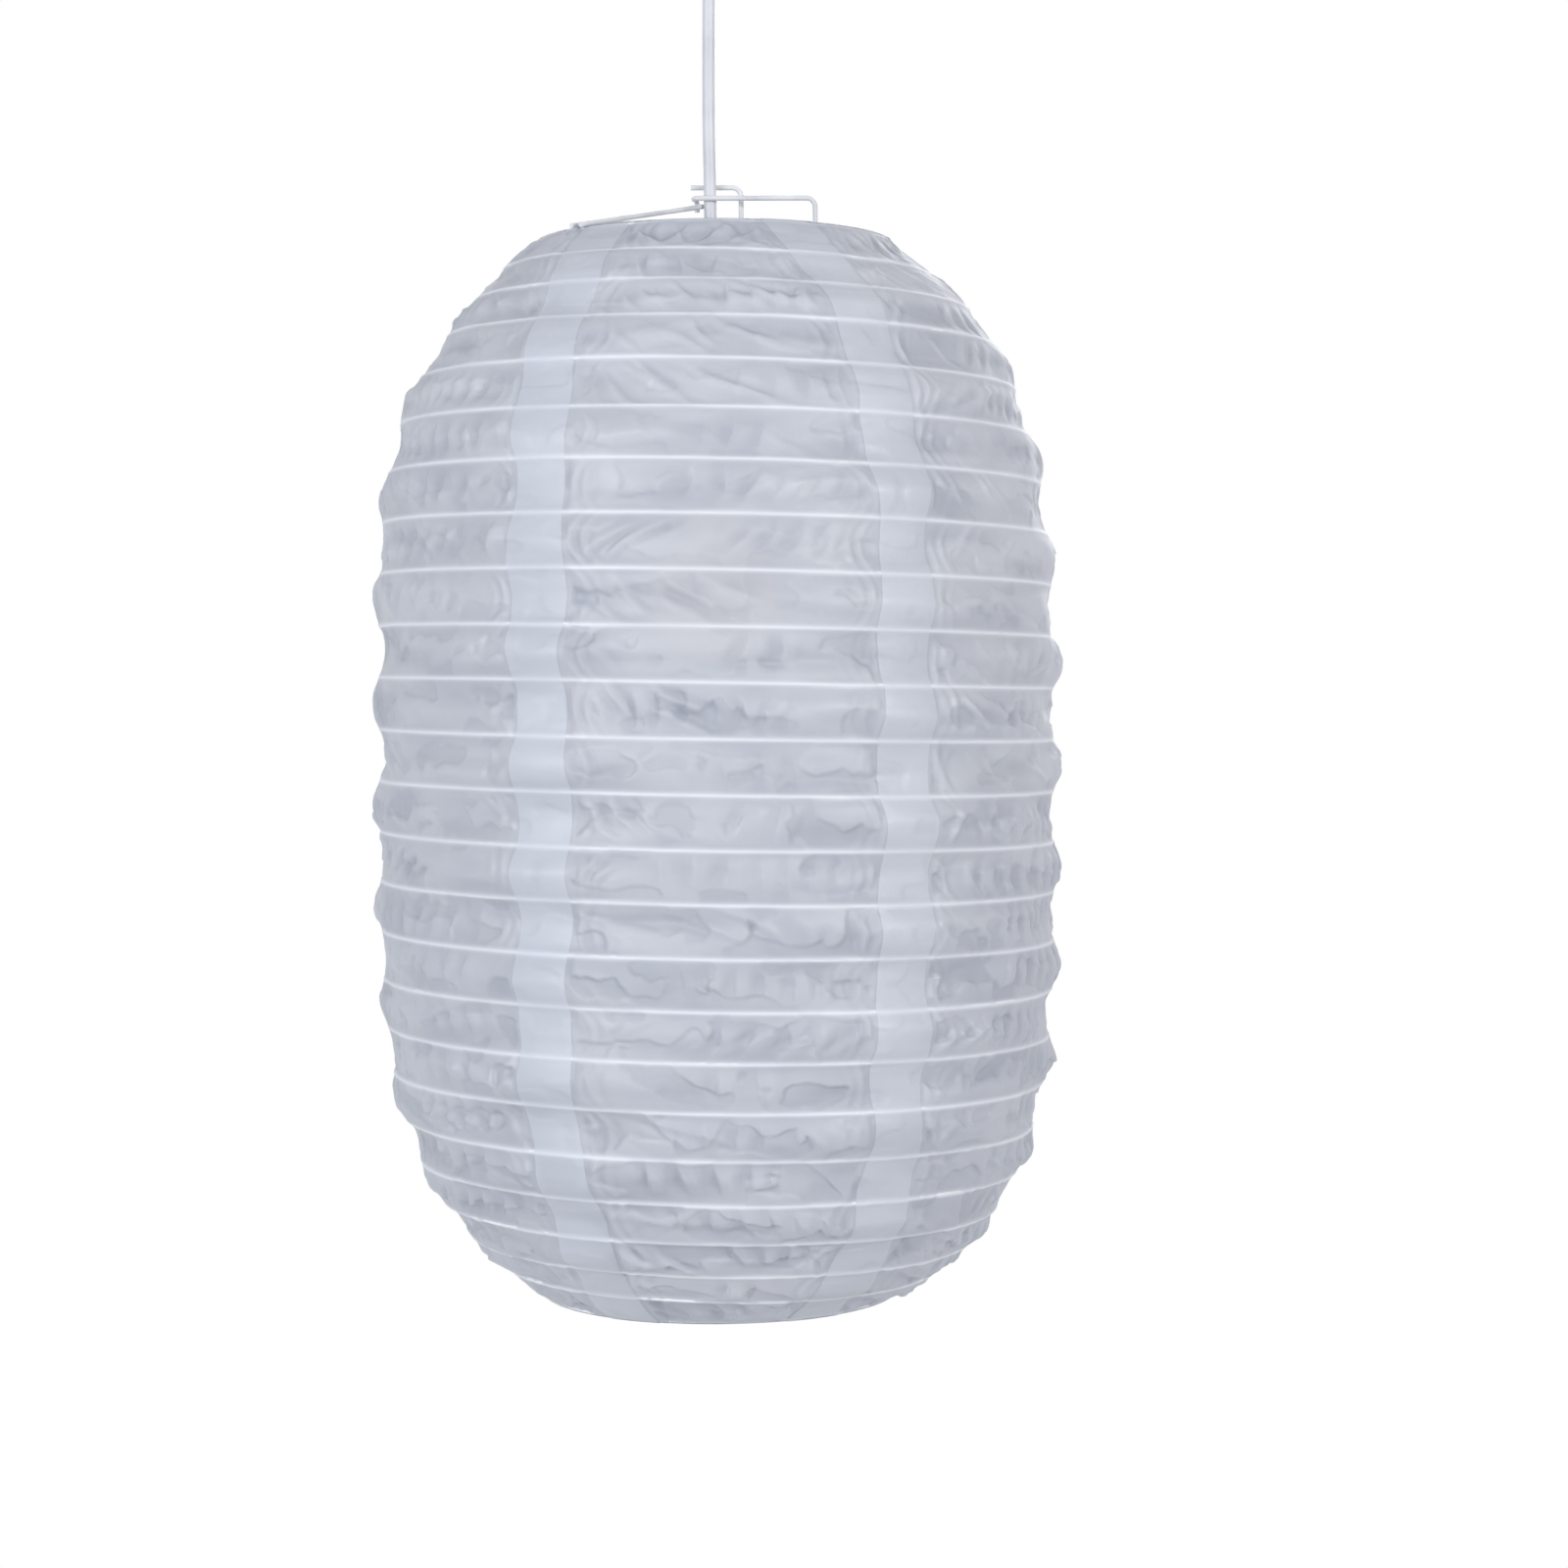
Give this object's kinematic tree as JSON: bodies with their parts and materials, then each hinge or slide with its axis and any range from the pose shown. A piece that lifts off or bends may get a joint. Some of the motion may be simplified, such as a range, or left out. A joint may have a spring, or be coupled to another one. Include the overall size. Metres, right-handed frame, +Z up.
{
  "type": "accordion fabric lantern",
  "caption": "Hanging accordion lantern: white translucent nylon over wire hoops, on a pendant cord with a lampholder, a bulb and a wire stretcher; it folds flat upwards.",
  "frame": {"origin": "centre of the hanging eye's bore, at the top of the cord", "axes": "+Z up along the cord; -Y towards the viewer; +X to the viewer's right"},
  "size_m": [0.2418, 0.241, 0.4929],
  "materials": {
    "nylon": "white translucent nylon, plain weave",
    "seam_nylon": "white nylon tape over the seams, double thickness",
    "rib_wire": "white coated wire",
    "frame_wire": "white coated stretcher wire, slightly glossy",
    "cord_sheath": "white PVC",
    "holder_plastic": "white moulded thermoplastic",
    "liner_metal": "nickel-plated brass screw shell",
    "eye_steel": "zinc-plated steel",
    "bulb_metal": "bulb's screw cap",
    "bulb_glass": "opal glass"
  },
  "bodies": {
    "pendant": {"hanging_eye": "eye_steel", "cord": "cord_sheath", "cord_stop": "holder_plastic", "socket_cap": "holder_plastic", "socket_shell": "holder_plastic", "socket_core": "holder_plastic", "socket_liner": "liner_metal", "socket_contact": "liner_metal"},
    "lantern_frame": {"top_rim": "rib_wire", "stretcher_front_arm": "frame_wire", "stretcher_back_arm": "frame_wire", "stretcher_cross_bar": "frame_wire", "stretcher_left_leg": "frame_wire", "rim_arm": "frame_wire", "gore_1": "nylon", "gore_2": "nylon", "gore_3": "nylon", "gore_4": "nylon", "gore_5": "nylon", "gore_6": "nylon", "seam_tape_1": "seam_nylon", "seam_tape_2": "seam_nylon", "seam_tape_3": "seam_nylon", "seam_tape_4": "seam_nylon", "seam_tape_5": "seam_nylon", "seam_tape_6": "seam_nylon"},
    "foot": {"bottom_rim": "rib_wire", "foot_bar": "frame_wire", "foot_sleeve_right": "frame_wire", "foot_sleeve_left": "frame_wire"},
    "bulb": {"bulb_cap": "bulb_metal", "bulb_globe": "bulb_glass"},
    "rib_01": {"rib_01": "rib_wire"},
    "rib_02": {"rib_02": "rib_wire"},
    "rib_03": {"rib_03": "rib_wire"},
    "rib_04": {"rib_04": "rib_wire"},
    "rib_05": {"rib_05": "rib_wire"},
    "rib_06": {"rib_06": "rib_wire"},
    "rib_07": {"rib_07": "rib_wire"},
    "rib_08": {"rib_08": "rib_wire"},
    "rib_09": {"rib_09": "rib_wire"},
    "rib_10": {"rib_10": "rib_wire"},
    "rib_11": {"rib_11": "rib_wire"},
    "rib_12": {"rib_12": "rib_wire"},
    "rib_13": {"rib_13": "rib_wire"},
    "rib_14": {"rib_14": "rib_wire"},
    "rib_15": {"rib_15": "rib_wire"},
    "rib_16": {"rib_16": "rib_wire"},
    "rib_17": {"rib_17": "rib_wire"},
    "rib_18": {"rib_18": "rib_wire"},
    "rib_19": {"rib_19": "rib_wire"},
    "rib_20": {"rib_20": "rib_wire"},
    "rib_21": {"rib_21": "rib_wire"},
    "rib_22": {"rib_22": "rib_wire"},
    "rib_23": {"rib_23": "rib_wire"}
  },
  "joints": [
    {"name": "lantern_turn", "type": "hinge", "parent": "pendant", "child": "lantern_frame", "pos_m": [0, 0, -0.094], "axis": [0, 0, 1], "continuous": true},
    {"name": "bulb_unscrew", "type": "hinge", "parent": "pendant", "child": "bulb", "pos_m": [0, 0, -0.236], "axis": [0, 0, 1], "range_deg": [0, 1080]},
    {"name": "lantern_fold", "type": "slide", "parent": "lantern_frame", "child": "foot", "axis": [0, 0, 1], "range_m": [0, 0.33543], "deforming": ["gore_1", "gore_2", "gore_3", "gore_4", "gore_5", "gore_6", "seam_tape_1", "seam_tape_2", "seam_tape_3", "seam_tape_4", "seam_tape_5", "seam_tape_6"]},
    {"name": "rib_01_rise", "type": "slide", "parent": "lantern_frame", "child": "rib_01", "axis": [0, 0, 1], "range_m": [0, 0.01011]},
    {"name": "rib_02_rise", "type": "slide", "parent": "lantern_frame", "child": "rib_02", "axis": [0, 0, 1], "range_m": [0, 0.02034]},
    {"name": "rib_03_rise", "type": "slide", "parent": "lantern_frame", "child": "rib_03", "axis": [0, 0, 1], "range_m": [0, 0.03192]},
    {"name": "rib_04_rise", "type": "slide", "parent": "lantern_frame", "child": "rib_04", "axis": [0, 0, 1], "range_m": [0, 0.04517]},
    {"name": "rib_05_rise", "type": "slide", "parent": "lantern_frame", "child": "rib_05", "axis": [0, 0, 1], "range_m": [0, 0.05976]},
    {"name": "rib_06_rise", "type": "slide", "parent": "lantern_frame", "child": "rib_06", "axis": [0, 0, 1], "range_m": [0, 0.07502]},
    {"name": "rib_07_rise", "type": "slide", "parent": "lantern_frame", "child": "rib_07", "axis": [0, 0, 1], "range_m": [0, 0.09095]},
    {"name": "rib_08_rise", "type": "slide", "parent": "lantern_frame", "child": "rib_08", "axis": [0, 0, 1], "range_m": [0, 0.10722]},
    {"name": "rib_09_rise", "type": "slide", "parent": "lantern_frame", "child": "rib_09", "axis": [0, 0, 1], "range_m": [0, 0.12366]},
    {"name": "rib_10_rise", "type": "slide", "parent": "lantern_frame", "child": "rib_10", "axis": [0, 0, 1], "range_m": [0, 0.13992]},
    {"name": "rib_11_rise", "type": "slide", "parent": "lantern_frame", "child": "rib_11", "axis": [0, 0, 1], "range_m": [0, 0.15636]},
    {"name": "rib_12_rise", "type": "slide", "parent": "lantern_frame", "child": "rib_12", "axis": [0, 0, 1], "range_m": [0, 0.17263]},
    {"name": "rib_13_rise", "type": "slide", "parent": "lantern_frame", "child": "rib_13", "axis": [0, 0, 1], "range_m": [0, 0.18873]},
    {"name": "rib_14_rise", "type": "slide", "parent": "lantern_frame", "child": "rib_14", "axis": [0, 0, 1], "range_m": [0, 0.20449]},
    {"name": "rib_15_rise", "type": "slide", "parent": "lantern_frame", "child": "rib_15", "axis": [0, 0, 1], "range_m": [0, 0.22026]},
    {"name": "rib_16_rise", "type": "slide", "parent": "lantern_frame", "child": "rib_16", "axis": [0, 0, 1], "range_m": [0, 0.23569]},
    {"name": "rib_17_rise", "type": "slide", "parent": "lantern_frame", "child": "rib_17", "axis": [0, 0, 1], "range_m": [0, 0.25078]},
    {"name": "rib_18_rise", "type": "slide", "parent": "lantern_frame", "child": "rib_18", "axis": [0, 0, 1], "range_m": [0, 0.26554]},
    {"name": "rib_19_rise", "type": "slide", "parent": "lantern_frame", "child": "rib_19", "axis": [0, 0, 1], "range_m": [0, 0.27997]},
    {"name": "rib_20_rise", "type": "slide", "parent": "lantern_frame", "child": "rib_20", "axis": [0, 0, 1], "range_m": [0, 0.29372]},
    {"name": "rib_21_rise", "type": "slide", "parent": "lantern_frame", "child": "rib_21", "axis": [0, 0, 1], "range_m": [0, 0.3063]},
    {"name": "rib_22_rise", "type": "slide", "parent": "lantern_frame", "child": "rib_22", "axis": [0, 0, 1], "range_m": [0, 0.31737]},
    {"name": "rib_23_rise", "type": "slide", "parent": "lantern_frame", "child": "rib_23", "axis": [0, 0, 1], "range_m": [0, 0.32693]}
  ],
  "couplings": [
    {"joint": "rib_01_rise", "follows": "lantern_fold", "ratio": 0.03},
    {"joint": "rib_02_rise", "follows": "lantern_fold", "ratio": 0.0605},
    {"joint": "rib_03_rise", "follows": "lantern_fold", "ratio": 0.095},
    {"joint": "rib_04_rise", "follows": "lantern_fold", "ratio": 0.1345},
    {"joint": "rib_05_rise", "follows": "lantern_fold", "ratio": 0.178},
    {"joint": "rib_06_rise", "follows": "lantern_fold", "ratio": 0.2235},
    {"joint": "rib_07_rise", "follows": "lantern_fold", "ratio": 0.271},
    {"joint": "rib_08_rise", "follows": "lantern_fold", "ratio": 0.3195},
    {"joint": "rib_09_rise", "follows": "lantern_fold", "ratio": 0.3685},
    {"joint": "rib_10_rise", "follows": "lantern_fold", "ratio": 0.417},
    {"joint": "rib_11_rise", "follows": "lantern_fold", "ratio": 0.466},
    {"joint": "rib_12_rise", "follows": "lantern_fold", "ratio": 0.5145},
    {"joint": "rib_13_rise", "follows": "lantern_fold", "ratio": 0.5625},
    {"joint": "rib_14_rise", "follows": "lantern_fold", "ratio": 0.6095},
    {"joint": "rib_15_rise", "follows": "lantern_fold", "ratio": 0.6565},
    {"joint": "rib_16_rise", "follows": "lantern_fold", "ratio": 0.7025},
    {"joint": "rib_17_rise", "follows": "lantern_fold", "ratio": 0.7475},
    {"joint": "rib_18_rise", "follows": "lantern_fold", "ratio": 0.7915},
    {"joint": "rib_19_rise", "follows": "lantern_fold", "ratio": 0.8345},
    {"joint": "rib_20_rise", "follows": "lantern_fold", "ratio": 0.8755},
    {"joint": "rib_21_rise", "follows": "lantern_fold", "ratio": 0.913},
    {"joint": "rib_22_rise", "follows": "lantern_fold", "ratio": 0.946},
    {"joint": "rib_23_rise", "follows": "lantern_fold", "ratio": 0.9745}
  ]
}
